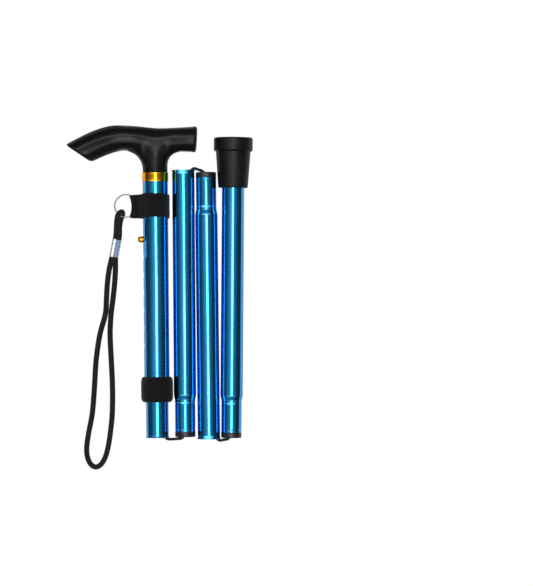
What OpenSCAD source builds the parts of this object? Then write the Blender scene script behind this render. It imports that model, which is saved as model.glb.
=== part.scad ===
// Folding walking cane, shown folded: four shaft sections side by side, joined by
// one elastic cord, under a T-shaped grip with a wrist strap.
// The shaft axis is Z, the grip points along -X, and the origin is the middle of
// the grip on the shaft axis. All sizes are in millimetres.

/* [Grip] */
// Reach of the grip in front of the shaft axis
grip_front = 76; // [66:0.5:84]
// Reach of the grip behind the shaft axis
grip_back = 35.5; // [30:0.5:36]
// Height of the palm crest above the middle of the grip
palm_top = 12.3; // [10:0.1:16]
// Distance of the palm crest in front of the shaft axis
palm_reach = 29.4; // [22:0.2:36]
// Height of the saddle over the shaft above the middle of the grip
saddle_top = 9.4; // [8:0.1:11]
// Depth of the grip's underside below its middle
grip_under = 10.6; // [8:0.1:11]
// Depth of the nose's upper edge below the middle of the grip
nose_drop = 4.2; // [0:0.1:6]
// Length of the slanted nose face
nose_face = 26.4; // [20:0.2:27]
// Slope of the nose face
nose_slope = 34.5; // [30:0.5:45]
// Width of the grip at the palm crest
palm_w = 26.4; // [22:0.2:32]
// Width of the grip at its two ends
grip_end_w = 21.6; // [18:0.2:26]
// How far each side of the grip draws in over the stem
grip_waist = 3.4; // [0:0.1:4]
// Radius of the fillet between stem and grip on the nose side
stem_fillet_front = 15.5; // [11:0.5:18]
// Radius of the fillet between stem and grip on the heel side
stem_fillet_back = 11; // [8:0.5:14]
// Inset of the stem from the outer tube's surface
stem_inset = 0.1; // [0:0.05:0.8]
// Depth of the stem's lower end below the middle of the grip
stem_drop = 28.5; // [26:0.5:34]
// Length of the handle plug inside the outer tube
handle_plug_len = 26; // [16:1:32]
// Diameter of the cross pin that holds the handle
handle_pin_d = 3; // [2:0.1:4]

/* [Shaft] */
// Outer diameter of the outer tube
outer_d = 21.4; // [20.6:0.1:24]
// Wall of the outer tube
outer_wall = 1.1; // [0.8:0.05:1.1]
// Length of the outer tube
outer_len = 191; // [170:1:230]
// Wall of the folding sections
section_wall = 0.8; // [0.6:0.05:1.1]
// Length of the inner tube above the snap button
inner_above_button = 15; // [10:0.5:22]
// Length of the inner tube that stands out below the outer tube
inner_show = 33.5; // [33.5:0.5:45]
// Height of the second section's mouth above the top of the outer tube
mouth_rise = 2; // [0:0.5:5]
// Extra length of the fourth section's tube over the second and third
last_extra = 18; // [8:1:30]
// Radial clearance of sliding and plugged tubes
slide_clear = 0.1; // [0.05:0.01:0.15]
// Height of the flared lip at an open tube mouth
lip_h = 1.6; // [1:0.1:3]
// How far a lip flares beyond its tube
lip_flare = 0.5; // [0.2:0.05:0.6]

/* [Folds] */
// Length of a spigot, plug flange included
spigot_len = 32; // [24:0.5:32]
// Length of the cone between spigot and tube
shoulder_h = 2; // [1:0.1:4]
// Height of the plug flange at a spigot's end
guide_flange_h = 4.5; // [4.5:0.1:6]
// Depth of the plug inside the spigot
guide_depth = 8; // [5:0.5:12]
// Gap between the keeper strap and the second section
keeper_gap = 0.5; // [0.5:0.05:4]
// Gap between the second section's lip and the third section's spigot
fold_gap_2 = 0.6; // [0.6:0.05:3]
// Gap between the third section's lip and the fourth section's spigot
fold_gap_3 = 0.3; // [0.3:0.05:3]
// Angle that the first fold rests open
rest_open_1 = 0.06; // [0:0.02:0.6]
// Angle that the second fold rests open
rest_open_2 = 0.2; // [0.2:0.02:1]
// Angle that the third fold rests open
rest_open_3 = 1.05; // [1.05:0.05:2]
// Height by which the second spigot hangs back from its mouth
hang_back_1 = 0.5; // [0.3:0.1:2]
// Height by which the third spigot hangs back from its mouth
hang_back_2 = 2; // [0.3:0.1:3]
// Height by which the fourth spigot hangs back from its mouth
hang_back_3 = 1; // [0.3:0.1:2]
// Diameter of the elastic cord
elastic_d = 3; // [2.2:0.1:3.2]
// Height of the plugs that hold the elastic cord's two ends
cord_plug_h = 10; // [6:0.5:12]
// Distance from the snap button down to the lower face of the upper cord plug
upper_plug_drop = 66; // [56:0.5:72]
// Depth of the lower cord plug's inner face in the fourth tube's end
lower_plug_depth = 20; // [18:0.5:30]
// Radius of the elastic cord's stop knots
knot_r = 4; // [3:0.1:4.5]

/* [Height setting] */
// Diameter of the snap button
button_d = 5.6; // [4:0.1:7]
// Height of the button above the outer tube
button_proud = 4.7; // [3:0.1:6]
// Depth of the button's axis below the top of the outer tube
button_drop = 56.5; // [54:0.5:62]
// Number of height holes
hole_count = 7; // [3:1:8]
// Distance between height holes
hole_pitch = 15; // [10:0.5:15]
// Radial clearance of the button in its holes
button_clear = 0.2; // [0.1:0.05:0.4]
// Thickness of the leaf spring
spring_t = 0.5; // [0.3:0.05:0.8]
// Width of the leaf spring
spring_w = 7; // [5:0.1:7.4]
// Distance from the snap button down to the leaf spring's bend
spring_drop = 34; // [24:0.5:38]
// Length of the leaf spring above the snap button's axis
spring_above = 5; // [4.2:0.1:8]

/* [Collar and straps] */
// Height of the collar ring
collar_h = 7.7; // [6:0.1:12]
// Wall of the collar ring
collar_wall = 0.4; // [0.3:0.05:0.8]
// Width of the wrist strap
strap_w = 20.4; // [18:0.2:26]
// Thickness of the wrist strap
strap_t = 1.3; // [0.8:0.05:1.6]
// Depth of the wrist strap's upper edge below the top of the outer tube
strap_drop = 17.8; // [14:0.2:24]
// Length of the wrist strap's folded tab
tab_len = 10.25; // [9:0.05:13]
// Width of the keeper strap
keeper_w = 21.5; // [16:0.5:26]
// Thickness of the keeper strap, all turns together
keeper_t = 2.85; // [1.5:0.05:3]
// Length of the keeper strap that hangs past the outer tube's end
keeper_past = 3.3; // [1:0.1:6]

/* [Wrist cord] */
// Diameter of the wrist cord
wrist_cord_d = 4.2; // [3.4:0.1:4.2]
// Diameter of the split ring at the middle of its wire
ring_d = 19.2; // [17:0.2:22]
// Diameter of the split ring's wire
ring_wire_d = 1.2; // [0.8:0.05:1.3]
// Length of the crimp sleeve
crimp_len = 15; // [10:0.5:18]
// Wall of the crimp sleeve
crimp_wall = 0.5; // [0.3:0.05:0.8]

/* [Rubber tip] */
// Diameter of the foot rim
tip_rim_d = 33; // [29:0.5:36]
// Height of the foot rim
tip_rim_h = 11.4; // [8:0.2:16]
// Diameter of the tip's body at the rim
tip_body_d = 29.4; // [25:0.2:29.4]
// Wall of the tip at its mouth
tip_wall = 3.2; // [1.8:0.05:3.2]
// Height of the tip
tip_h = 42.6; // [34:0.2:44]
// Thickness of rubber under the tube
tip_floor = 9; // [6:0.5:14]
// Thickness of the steel washer in the tip
washer_t = 1.2; // [0.8:0.1:2]

/* [Hidden] */

$fn = 96;
eps = 0.01;
seat_clear = 0.05;
touch_clear = 0.3;

blue = "#0f86c4";
black_plastic = "#1c1c1e";
black_rubber = "#202022";
black_fabric = "#17171a";
gold = "#c9952c";
steel = "#b9bcc0";
zinc = "#d5d8dc";

// Heights along the shaft, below the middle of the grip
tube_top_z = -stem_drop;
outer_end_z = tube_top_z - outer_len;
mouth_1_z = outer_end_z - inner_show;
button_z = tube_top_z - button_drop;
inner_top_z = button_z + inner_above_button;
strap_top_z = tube_top_z - strap_drop;
strap_mid_z = strap_top_z - strap_w / 2;
keeper_low_z = outer_end_z - keeper_past;

// Radii of the nested tubes
outer_r = outer_d / 2;
outer_bore_r = outer_r - outer_wall;
stem_r = outer_r - stem_inset;
section_r = outer_bore_r - slide_clear;
section_bore_r = section_r - section_wall;
spigot_r = section_bore_r - slide_clear;
spigot_bore_r = spigot_r - section_wall;
lip_r = section_r + lip_flare;

// Folded places of the sections and of the three hinge lines between them
pitch_1 = outer_r + keeper_t + keeper_gap + section_r;
pitch_2 = lip_r + fold_gap_2 + spigot_r;
pitch_3 = lip_r + fold_gap_3 + spigot_r;
x_2 = pitch_1;
x_3 = x_2 + pitch_2;
x_4 = x_3 + pitch_3;
spigot_2_z = mouth_1_z + hang_back_1;
mouth_2_z = tube_top_z + mouth_rise;
section_len = mouth_2_z - spigot_2_z;
last_len = section_len + last_extra;
spigot_3_z = mouth_2_z - hang_back_2;
mouth_3_z = spigot_3_z - section_len;
spigot_4_z = mouth_3_z + hang_back_3;
hinge_1 = [x_2 / 2, 0, mouth_1_z];
hinge_2 = [(x_2 + x_3) / 2, 0, mouth_2_z];
hinge_3 = [(x_3 + x_4) / 2, 0, mouth_3_z];

// The elastic cord leaves this much of each open mouth to the spigot that plugs in
elastic_tail = spigot_len + 4;
elastic_r = elastic_d / 2;
guide_hole_r = elastic_r + 0.6;
guide_flare = guide_flange_h;
tip_seat = last_len + washer_t;

// The split ring hangs in the strap's folded end
band_r = outer_r + seat_clear + strap_t;
tab_end = -band_r - tab_len;
ring_hang = 2.6;
ring_x = tab_end - ring_hang;
ring_r = ring_d / 2;
ring_gap = 1;
ring_half_t = (ring_gap + ring_wire_d) / 2;
bight_turn = 237;
bight_twist = 25;
bight_r = wrist_cord_d / 2 + ring_half_t + 0.9;

// The crimp sleeve leans with the cord that it holds
crimp_mid = [-34.2, 0, -92.3];
crimp_lean = 11;
strand_shift = [1.35, 1.65, 0] * (wrist_cord_d + 0.06) / 4.26;

// Hand-chosen points of the hand loop, from the crimp's front strand round to its rear strand
loop_route = [
    [-39.6, -1, -110], [-41.3, 0, -122], [-42.3, 0.5, -136], [-43.2, 0.5, -148], [-48, 0, -165],
    [-51.4, -0.5, -187], [-53, -1, -210], [-55, -1, -232], [-58.4, -0.5, -249], [-60.2, 0, -262],
    [-59.2, 0, -270.4], [-56.4, 0, -275.8], [-52.2, 0, -278], [-48, 0, -275.4], [-44.6, 0, -269.8],
    [-42, 0, -261], [-40, 0.5, -249],
    [-38.2, 1, -232], [-37.8, 1, -210], [-38.6, 0.5, -187], [-39.4, 0, -165], [-38.4, 0, -148],
    [-36.8, 0.5, -136], [-35.2, 1, -122], [-34.4, 1.5, -110]
];

// Vector helpers
function unit(v) = v / norm(v);
function flat_to(v, t) = unit(v - (v * t) * t);
function turned(v, a) = [v.x * cos(a) + v.z * sin(a), v.y, v.z * cos(a) - v.x * sin(a)];
function hermite(p, m, q, n, t) =
    (2 * t ^ 3 - 3 * t ^ 2 + 1) * p + (t ^ 3 - 2 * t ^ 2 + t) * m
    + (3 * t ^ 2 - 2 * t ^ 3) * q + (t ^ 3 - t ^ 2) * n;

// Smooth route through hand-chosen points, with a few steps between each pair
function route_slope(p, i) = (p[min(i + 1, len(p) - 1)] - p[max(i - 1, 0)]) / 2;
function smooth(p, steps) = concat(
    [for (i = [0:len(p) - 2]) for (k = [0:steps - 1])
        hermite(p[i], route_slope(p, i), p[i + 1], route_slope(p, i + 1), k / steps)],
    [p[len(p) - 1]]
);

// Closed skin over a list of rings that all have the same number of points,
// which run anticlockwise when seen from the last ring
module skin(rings) {
    n = len(rings[0]);
    last = len(rings) - 1;
    points = [for (ring = rings) for (p = ring) p];
    sides = [for (i = [0:last - 1]) for (k = [0:n - 1]) each [
        [i * n + k, (i + 1) * n + (k + 1) % n, i * n + (k + 1) % n],
        [i * n + k, (i + 1) * n + k, (i + 1) * n + (k + 1) % n]
    ]];
    first_cap = [for (k = [1:n - 2]) [0, k, k + 1]];
    last_cap = [for (k = [1:n - 2]) [last * n, last * n + k + 1, last * n + k]];
    polyhedron(points, concat(sides, first_cap, last_cap), convexity = 8);
}

// Round cord of diameter d along a route that never runs along Y
module cord(route, d, sides) {
    skin([for (i = [0:len(route) - 1])
        let (t = unit(route[min(i + 1, len(route) - 1)] - route[max(i - 1, 0)]),
             u = flat_to([0, 1, 0], t), v = cross(t, u))
        [for (k = [0:sides - 1]) route[i] + d / 2 * (cos(360 * k / sides) * u + sin(360 * k / sides) * v)]]);
}

// Round bar between two heights, drilled through or plain
module bar(r, z0, z1, hole = 0) {
    difference() {
        translate([0, 0, z0]) cylinder(r = r, h = z1 - z0);
        if (hole > 0) translate([0, 0, z0 - 1]) cylinder(r = hole, h = z1 - z0 + 2);
    }
}

// Turns its children about a hinge line along Y
module about(hinge, angle) {
    translate(hinge) rotate([0, angle, 0]) translate(-hinge) children();
}

// Places of the folded sections: origin in the middle of the spigot's end, +Z along the tube
module fold_1() { about(hinge_1, rest_open_1) children(); }
module fold_2() { fold_1() about(hinge_2, -rest_open_2) children(); }
module fold_3() { fold_2() about(hinge_3, rest_open_3) children(); }
module at_second() { fold_1() translate([x_2, 0, spigot_2_z]) children(); }
module at_third() { fold_2() translate([x_3, 0, spigot_3_z]) rotate([0, 180, 0]) children(); }
module at_fourth() { fold_3() translate([x_4, 0, spigot_4_z]) children(); }

// Upper and lower edge of the grip from nose (0) over the palm crest (1) to the heel (2)
nose_up = [-grip_front, 0, -nose_drop];
nose_low = nose_up + nose_face * [cos(nose_slope), 0, -sin(nose_slope)];
palm_up = [-palm_reach, 0, palm_top];
palm_low = [-palm_reach + 3.4, 0, -grip_under + 0.4];
saddle_up = [4.5, 0, saddle_top];
heel_up = [grip_back, 0, saddle_top + 1.1];
heel_low = [grip_back - 1.5, 0, -grip_under - 1.2];
nose_rise = 27;
belly_rise = 24;
saddle_share = (saddle_up.x - palm_up.x) / (heel_up.x - palm_up.x);

function sloped(p, q, a) = norm(q - p) * [cos(a), 0, sin(a)];
function arc_between(p, a, q, b, t) = hermite(p, sloped(p, q, a), q, sloped(p, q, b), t);
function grip_upper(s) =
    s < 1 ? arc_between(nose_up, nose_rise, palm_up, 0, s)
    : s - 1 < saddle_share ? arc_between(palm_up, 0, saddle_up, 0, (s - 1) / saddle_share)
    : arc_between(saddle_up, 0, heel_up, 1, (s - 1 - saddle_share) / (1 - saddle_share));
function grip_lower(s) =
    s < 1 ? arc_between(nose_low, belly_rise, palm_low, 0, s)
    : arc_between(palm_low, 0, heel_low, -2, s - 1);
waist_x = 2;
waist_reach = 14;
function grip_draw(x) = grip_waist * exp(-((x - waist_x) / waist_reach) ^ 2);
function grip_half_w(s, x) =
    (grip_end_w + (palm_w - grip_end_w) * sin(90 * (s < 1 ? s : 2 - s)) ^ 2) / 2 - grip_draw(x);

// Oval ring of the grip: superellipse between an upper and a lower point
grip_sides = 28;
grip_square = 2.3;
function power_cos(a) = sign(cos(a)) * abs(cos(a)) ^ (2 / grip_square);
function grip_ring(s, shrink = 1) =
    let (up = grip_upper(s), low = grip_lower(s), mid = (up + low) / 2)
    [for (k = [0:grip_sides - 1]) let (a = 360 * k / grip_sides)
        mid + shrink * (power_cos(a) * (up - low) / 2 + power_cos(a + 90) * grip_half_w(s, mid.x) * [0, 1, 0])];

// Oval section of the stem at a height: longer where it runs into the grip, and drawn in there at its sides
fillet_share = 0.97;
stem_end = 2;
function fillet_reach(z, under, r) =
    let (h = min(max(z + under + r, 0), fillet_share * r)) r - sqrt(r ^ 2 - h ^ 2);
function stem_ring(z) =
    let (front = stem_r + fillet_reach(z, grip_under - 0.4, stem_fillet_front),
         back = stem_r + fillet_reach(z, grip_under + 0.6, stem_fillet_back),
         side = stem_r - grip_waist * max(z + grip_under, 0) / (stem_end + grip_under))
    [for (k = [0:grip_sides - 1]) let (a = 360 * (k + 0.5) / grip_sides)
        [(cos(a) < 0 ? front : back) * cos(a), side * sin(a), z]];

// Moulded T grip with its stem and the plug that fits the outer tube
module handle() {
    edge_round = 0.93;
    rings = 11;
    stem_steps = 12;
    color(black_plastic) difference() {
        union() {
            skin(concat(
                [grip_ring(0, edge_round)],
                [for (k = [0:2 * rings]) grip_ring(0.05 + 1.92 * k / (2 * rings))],
                [grip_ring(2, edge_round)]
            ));
            skin([for (k = [0:stem_steps])
                let (t = k / stem_steps) stem_ring(-stem_drop + (stem_drop + stem_end) * sin(90 * t))]);
            bar(outer_bore_r - slide_clear, tube_top_z - handle_plug_len, tube_top_z + 1);
        }
        pin_bore(handle_pin_d / 2 + seat_clear);
    }
}

// Cross bore of the handle pin, under the collar ring
module pin_bore(r) {
    translate([0, 0, tube_top_z - collar_h / 2]) rotate([90, 0, 0]) cylinder(r = r, h = outer_d + 2, center = true);
}

module handle_pin() {
    pin_chamfer = 0.4;
    color(steel) intersection() {
        pin_bore(handle_pin_d / 2);
        bar(outer_r - pin_chamfer / 4, tube_top_z - collar_h, tube_top_z);
    }
}

module collar_ring() {
    inner = outer_r + seat_clear;
    color(gold) translate([0, 0, tube_top_z - collar_h]) rotate_extrude()
        polygon([
            [inner, 0], [inner + collar_wall * 0.7, 0], [inner + collar_wall, collar_wall],
            [inner + collar_wall, collar_h - collar_wall], [inner + collar_wall * 0.7, collar_h], [inner, collar_h]
        ]);
}

// Row of round holes on the nose side of a tube, for the snap button
module button_holes(count) {
    for (i = [0:count - 1])
        translate([-outer_d, 0, button_z - i * hole_pitch]) rotate([0, 90, 0])
            cylinder(d = button_d + 2 * button_clear, h = outer_d);
}

module outer_tube() {
    color(blue) difference() {
        bar(outer_r, outer_end_z, tube_top_z, outer_bore_r);
        button_holes(hole_count);
        pin_bore(handle_pin_d / 2 + seat_clear);
    }
}

// Hook-and-loop wrist strap: a band round the tube, pinched into a tab that holds the split ring
module wrist_strap() {
    tab_half = ring_half_t + touch_clear + strap_t;
    strap_low_z = strap_top_z - strap_w;
    fold_hollow = 23;
    hollow_depth = 1.9;
    tab_narrow = 1;
    color(black_fabric) difference() {
        union() {
            bar(band_r, strap_low_z, strap_top_z);
            intersection() {
                translate([0, 0, strap_low_z]) linear_extrude(strap_w) polygon([
                    [0, -band_r / 2], [-band_r * 0.7, -band_r * 0.62], [-band_r - 2, -tab_half], [tab_end, -tab_half],
                    [tab_end, tab_half], [-band_r - 2, tab_half], [-band_r * 0.7, band_r * 0.62], [0, band_r / 2]
                ]);
                rotate([90, 0, 0]) linear_extrude(4 * band_r, center = true) polygon([
                    [1, strap_top_z], [-band_r, strap_top_z], [tab_end, strap_top_z - tab_narrow],
                    [tab_end, strap_low_z + tab_narrow], [-band_r, strap_low_z], [1, strap_low_z]
                ]);
            }
        }
        bar(outer_r + seat_clear, strap_low_z - 1, strap_top_z + 1);
        translate([tab_end - fold_hollow + hollow_depth, 0, strap_mid_z]) rotate([90, 0, 0])
            cylinder(r = fold_hollow, h = 4 * tab_half, center = true);
        at_ring() ring_body(touch_clear);
    }
}

// Keeper strap, wound round the lower end of the outer tube
module keeper_strap() {
    inner = outer_r + seat_clear;
    outer = outer_r + keeper_t;
    soft = keeper_t * 0.45;
    color(black_fabric) translate([0, 0, keeper_low_z]) rotate_extrude() union() {
        translate([inner, 0]) square([outer - soft - inner, keeper_w]);
        translate([inner, soft]) square([outer - inner, keeper_w - 2 * soft]);
        for (z = [soft, keeper_w - soft]) translate([outer - soft, z]) circle(r = soft);
    }
}

// Open mouth of a section: flared lip at the end of a plain tube, z measured from the mouth inwards
function mouth_outside() = [[section_r, lip_h], [lip_r, 0]];
function mouth_inside() = [[section_bore_r + lip_flare, 0], [section_bore_r, lip_h]];

module inner_tube() {
    top = inner_top_z - mouth_1_z;
    color(blue) difference() {
        translate([0, 0, mouth_1_z]) rotate_extrude()
            polygon(concat([[section_r, top]], mouth_outside(), mouth_inside(), [[section_bore_r, top]]));
        button_holes(1);
    }
}

// Swaged section: spigot with a shoulder at one end, open at the other
module section_tube(length, open_mouth) {
    neck = spigot_len - guide_flange_h;
    base = guide_flange_h;
    mouth = open_mouth
        ? concat([for (p = mouth_outside()) [p.x, length - p.y]], [for (p = mouth_inside()) [p.x, length - p.y]])
        : [[section_r, length], [section_bore_r, length]];
    color(blue) rotate_extrude() polygon(concat(
        [[spigot_bore_r, base], [spigot_r, base], [spigot_r, base + neck], [section_r, base + neck + shoulder_h]],
        mouth,
        [[section_bore_r, base + neck + shoulder_h], [spigot_bore_r, base + neck]]
    ));
}

// Plug at a spigot's end: a rounded flange with a trumpet mouth that guides the elastic cord
module cord_guide() {
    edge = 0.8;
    color(black_plastic) rotate_extrude() difference() {
        union() {
            translate([0, edge]) square([spigot_r, guide_flange_h - edge]);
            square([spigot_r - edge, edge + eps]);
            translate([spigot_r - edge, edge]) circle(r = edge);
            square([spigot_bore_r - seat_clear, guide_flange_h + guide_depth]);
        }
        translate([-1, -1]) square([guide_hole_r + 1, guide_flange_h + guide_depth + 2]);
        difference() {
            square([guide_hole_r + guide_flare, guide_flare]);
            translate([guide_hole_r + guide_flare, guide_flare]) circle(r = guide_flare);
        }
    }
}

// Elastic cord inside a section, from the plug to the open mouth's spare length
module section_elastic(length) {
    color(black_fabric) bar(elastic_r, guide_flange_h + guide_depth, length - elastic_tail);
}

// Elastic cord across a fold: out of a mouth, over its lip and round the trumpet of the next section's plug.
// Local frame: origin in the middle of the mouth, +Z into the tube, the next section at +X, turned open
// about the hinge line midway between the two.
module elastic_bend(pitch, hang_back, open) {
    dip = -elastic_r - 0.75;
    hinge = [pitch / 2, 0, 0];
    corner = [pitch - guide_hole_r - guide_flare, 0, hang_back + guide_flange_h];
    sweep = guide_flare + elastic_r + 1.5 * touch_clear;
    into_plug = [
        corner + sweep * [sin(30), 0, -cos(30)], corner + sweep * [sin(62), 0, -cos(62)],
        [pitch, 0, corner.z + 1.5], [pitch, 0, corner.z + guide_depth - touch_clear]
    ];
    color(black_fabric) cord(smooth(concat(
        [[0, 0, elastic_tail], [0, 0, 18], [0.6, 0, 10], [2.6, 0, 4], [section_bore_r - 2.9, 0, -0.5],
        [section_bore_r + 0.8, 0, dip], [corner.x, 0, dip + hang_back / 2]],
        [for (p = into_plug) hinge + turned(p - hinge, open)]
    ), 3), elastic_d, 8);
}

module elastic_bend_1() { translate([0, 0, mouth_1_z]) elastic_bend(pitch_1, hang_back_1, rest_open_1); }
module elastic_bend_2() {
    fold_1() translate([x_2, 0, mouth_2_z]) mirror([0, 0, 1]) elastic_bend(pitch_2, hang_back_2, rest_open_2);
}
module elastic_bend_3() {
    fold_2() translate([x_3, 0, mouth_3_z]) elastic_bend(pitch_3, hang_back_3, rest_open_3);
}

// Disc with a hole that holds the end of the elastic cord, and the knot that it stops
module cord_plug(z0, z1) {
    color(black_plastic) bar(section_bore_r - seat_clear, z0, z1, elastic_r + 0.3);
}
module stop_knot(seat_z) {
    color(black_fabric) intersection() {
        translate([0, 0, seat_z + knot_r * 0.7]) sphere(r = knot_r);
        bar(2 * knot_r, seat_z, seat_z + 3 * knot_r);
    }
}

upper_plug_z = button_z - upper_plug_drop;
module upper_cord_plug() { cord_plug(upper_plug_z, upper_plug_z + cord_plug_h); }
module upper_cord_knot() { stop_knot(upper_plug_z + cord_plug_h); }
module elastic_in_inner_tube() {
    color(black_fabric) bar(elastic_r, mouth_1_z + elastic_tail, upper_plug_z + cord_plug_h);
}

lower_plug_z = last_len - lower_plug_depth;
module lower_cord_plug() { at_fourth() cord_plug(lower_plug_z, lower_plug_z + cord_plug_h); }
module lower_cord_knot() { at_fourth() stop_knot(lower_plug_z + cord_plug_h); }
module elastic_in_fourth_tube() {
    at_fourth() color(black_fabric) bar(elastic_r, guide_flange_h + guide_depth, lower_plug_z + cord_plug_h);
}

// Brass snap button: domed pin with a flange behind the inner tube's wall
flange_r = button_d / 2 + 1.2;
flange_t = 1;
flange_x = -sqrt(section_bore_r ^ 2 - flange_r ^ 2) + touch_clear;
module snap_button() {
    dome_r = button_d / 2;
    tip_x = -outer_r - button_proud;
    color(gold) translate([0, 0, button_z]) rotate([0, 90, 0]) {
        bar(dome_r, tip_x + dome_r, flange_x + eps);
        translate([0, 0, tip_x + dome_r]) sphere(r = dome_r);
        bar(flange_r, flange_x, flange_x + flange_t);
    }
}

// Leaf spring: a hairpin inside the inner tube that pushes the button out
module button_spring() {
    front = flange_x + flange_t;
    rear = sqrt(section_bore_r ^ 2 - (spring_w / 2) ^ 2) - touch_clear;
    bend_r = (rear - front) / 2;
    bend_z = button_z - spring_drop;
    color(steel) rotate([90, 0, 0]) linear_extrude(spring_w, center = true) {
        translate([front, bend_z]) square([spring_t, spring_drop + spring_above]);
        translate([rear - spring_t, bend_z]) square([spring_t, spring_drop + spring_above]);
        translate([front + bend_r, bend_z]) difference() {
            circle(r = bend_r);
            circle(r = bend_r - spring_t);
            translate([-bend_r - 1, 0]) square([2 * bend_r + 2, bend_r + 1]);
        }
    }
}

// Rubber tip with ring treads, and the washer under the tube's end; z measured from the section's spigot end
module rubber_tip() {
    foot = tip_seat + tip_floor;
    top = foot - tip_h;
    rim = foot - tip_rim_h;
    neck_r = section_r + tip_wall;
    soft = 1.2;
    step = 1;
    tread_depth = 1.5;
    tread_w = 1.6;
    tread_radii = [5, 9.5];
    color(black_rubber) at_fourth() difference() {
        rotate_extrude() union() {
            polygon([
                [0, top], [neck_r - soft, top], [neck_r, top + soft],
                [tip_body_d / 2, rim - step], [tip_rim_d / 2 - soft / 2, rim], [tip_rim_d / 2, rim + soft],
                [tip_rim_d / 2, foot - soft], [tip_rim_d / 2 - soft, foot], [0, foot]
            ]);
        }
        bar(section_r + seat_clear, top - 1, tip_seat);
        for (r = tread_radii) translate([0, 0, foot - tread_depth]) difference() {
            cylinder(r = r + tread_w, h = tread_depth + 1);
            translate([0, 0, -1]) cylinder(r = r, h = tread_depth + 3);
        }
    }
}
module tip_washer() { color(steel) at_fourth() bar(section_r - 0.5, last_len, tip_seat, 3); }

// Split ring: two turns of wire side by side
module at_ring() { translate([ring_x, 0, strap_mid_z]) rotate([90, 0, 0]) children(); }
module ring_body(grow = 0) {
    wire = ring_wire_d / 2 + grow;
    rotate_extrude() {
        for (side = [-1, 1]) translate([ring_r, side * ring_gap / 2]) circle(r = wire);
        translate([ring_r - wire * 0.6, -ring_gap / 2]) square([wire * 1.2, ring_gap]);
    }
}
module split_ring() { color(zinc) at_ring() ring_body(); }

// The bight hangs on the ring's wire, in a plane turned a little from square to it
bight_hub = [ring_x, 0, strap_mid_z] + ring_r * [cos(bight_turn), 0, sin(bight_turn)];
bight_in = -[cos(bight_turn), 0, sin(bight_turn)];
bight_along = [-sin(bight_turn), 0, cos(bight_turn)];
bight_out = [0, -cos(bight_twist), 0] - sin(bight_twist) * bight_along;
function bight_arc(a) = bight_hub + bight_r * (sin(a) * bight_in + cos(a) * bight_out);

// A point on a strand in the crimp sleeve: height along it, and side -1 in front or 1 behind
function strand(h, side) = crimp_mid + turned([0, 0, h], crimp_lean) + side * turned(strand_shift, crimp_lean);
crimp_half = crimp_len / 2;

module wrist_cord_bight() {
    front = strand(crimp_half + 4, -1);
    rear = strand(crimp_half + 4, 1);
    color(black_fabric) cord(smooth(concat(
        [strand(0.1, -1), strand(crimp_half, -1), front, (front + bight_arc(-50)) / 2],
        [for (a = [-15:35:195]) bight_arc(a)],
        [(rear + bight_arc(230)) / 2, rear, strand(crimp_half, 1), strand(0.1, 1)]
    ), 2), wrist_cord_d, 10);
}

module wrist_cord_loop() {
    color(black_fabric) cord(smooth(concat(
        [strand(-0.1, -1), strand(-crimp_half, -1)], loop_route, [strand(-crimp_half, 1), strand(-0.1, 1)]
    ), 2), wrist_cord_d, 10);
}

module crimp_sleeve() {
    bore = wrist_cord_d / 2 + seat_clear;
    color(zinc) translate(crimp_mid) rotate([0, crimp_lean, 0]) difference() {
        for (side = [-1, 1]) translate(side * strand_shift) bar(bore + crimp_wall, -crimp_half, crimp_half);
        for (side = [-1, 1]) translate(side * strand_shift) bar(bore, -crimp_half - 1, crimp_half + 1);
    }
}

handle();
handle_pin();
collar_ring();
outer_tube();
wrist_strap();
keeper_strap();
inner_tube();
snap_button();
button_spring();
upper_cord_plug();
upper_cord_knot();
at_second() section_tube(section_len, true);  // second_tube
at_third() section_tube(section_len, true);  // third_tube
at_fourth() section_tube(last_len, false);  // fourth_tube
at_second() cord_guide();  // second_tube_guide
at_third() cord_guide();  // third_tube_guide
at_fourth() cord_guide();  // fourth_tube_guide
elastic_in_inner_tube();
at_second() section_elastic(section_len);  // elastic_in_second_tube
at_third() section_elastic(section_len);  // elastic_in_third_tube
elastic_in_fourth_tube();
elastic_bend_1();
elastic_bend_2();
elastic_bend_3();
lower_cord_plug();
lower_cord_knot();
rubber_tip();
tip_washer();
split_ring();
wrist_cord_bight();
wrist_cord_loop();
crimp_sleeve();
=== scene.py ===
import math

import bmesh
import bpy
import numpy as np
from mathutils import Matrix, Vector, noise


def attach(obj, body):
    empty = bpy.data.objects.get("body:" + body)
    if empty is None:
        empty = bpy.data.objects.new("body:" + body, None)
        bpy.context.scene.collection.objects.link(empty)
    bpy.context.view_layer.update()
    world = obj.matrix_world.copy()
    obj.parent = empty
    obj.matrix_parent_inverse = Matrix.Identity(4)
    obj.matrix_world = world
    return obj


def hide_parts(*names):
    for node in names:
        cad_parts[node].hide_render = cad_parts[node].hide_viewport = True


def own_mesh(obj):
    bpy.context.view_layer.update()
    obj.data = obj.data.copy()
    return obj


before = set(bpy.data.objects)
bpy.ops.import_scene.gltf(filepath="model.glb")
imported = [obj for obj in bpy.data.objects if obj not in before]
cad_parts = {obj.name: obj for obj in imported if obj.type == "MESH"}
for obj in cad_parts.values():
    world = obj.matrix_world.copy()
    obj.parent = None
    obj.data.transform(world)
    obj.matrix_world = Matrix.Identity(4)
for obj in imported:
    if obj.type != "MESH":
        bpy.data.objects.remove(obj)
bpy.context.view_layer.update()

# Outer tube: drawn aluminium pipe, anodised bright blue, with the row of height holes on its nose side.
# The grip is pinned into its top end, and the inner tube slides in its lower end.
MM = 0.001
outer_r = 10.7
outer_bore_r = 9.6
outer_top_z = -28.5
outer_end_z = -219.5
button_z = -85.0
hole_r = 3.0
hole_pitch = 15.0
hole_count = 7
tube_steps = 128
blue_deep = (0.003, 0.25, 0.58, 1.0)
blue_bright = (0.006, 0.31, 0.68, 1.0)
blue_edge_tint = (0.02, 0.40, 0.80, 1.0)
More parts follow.
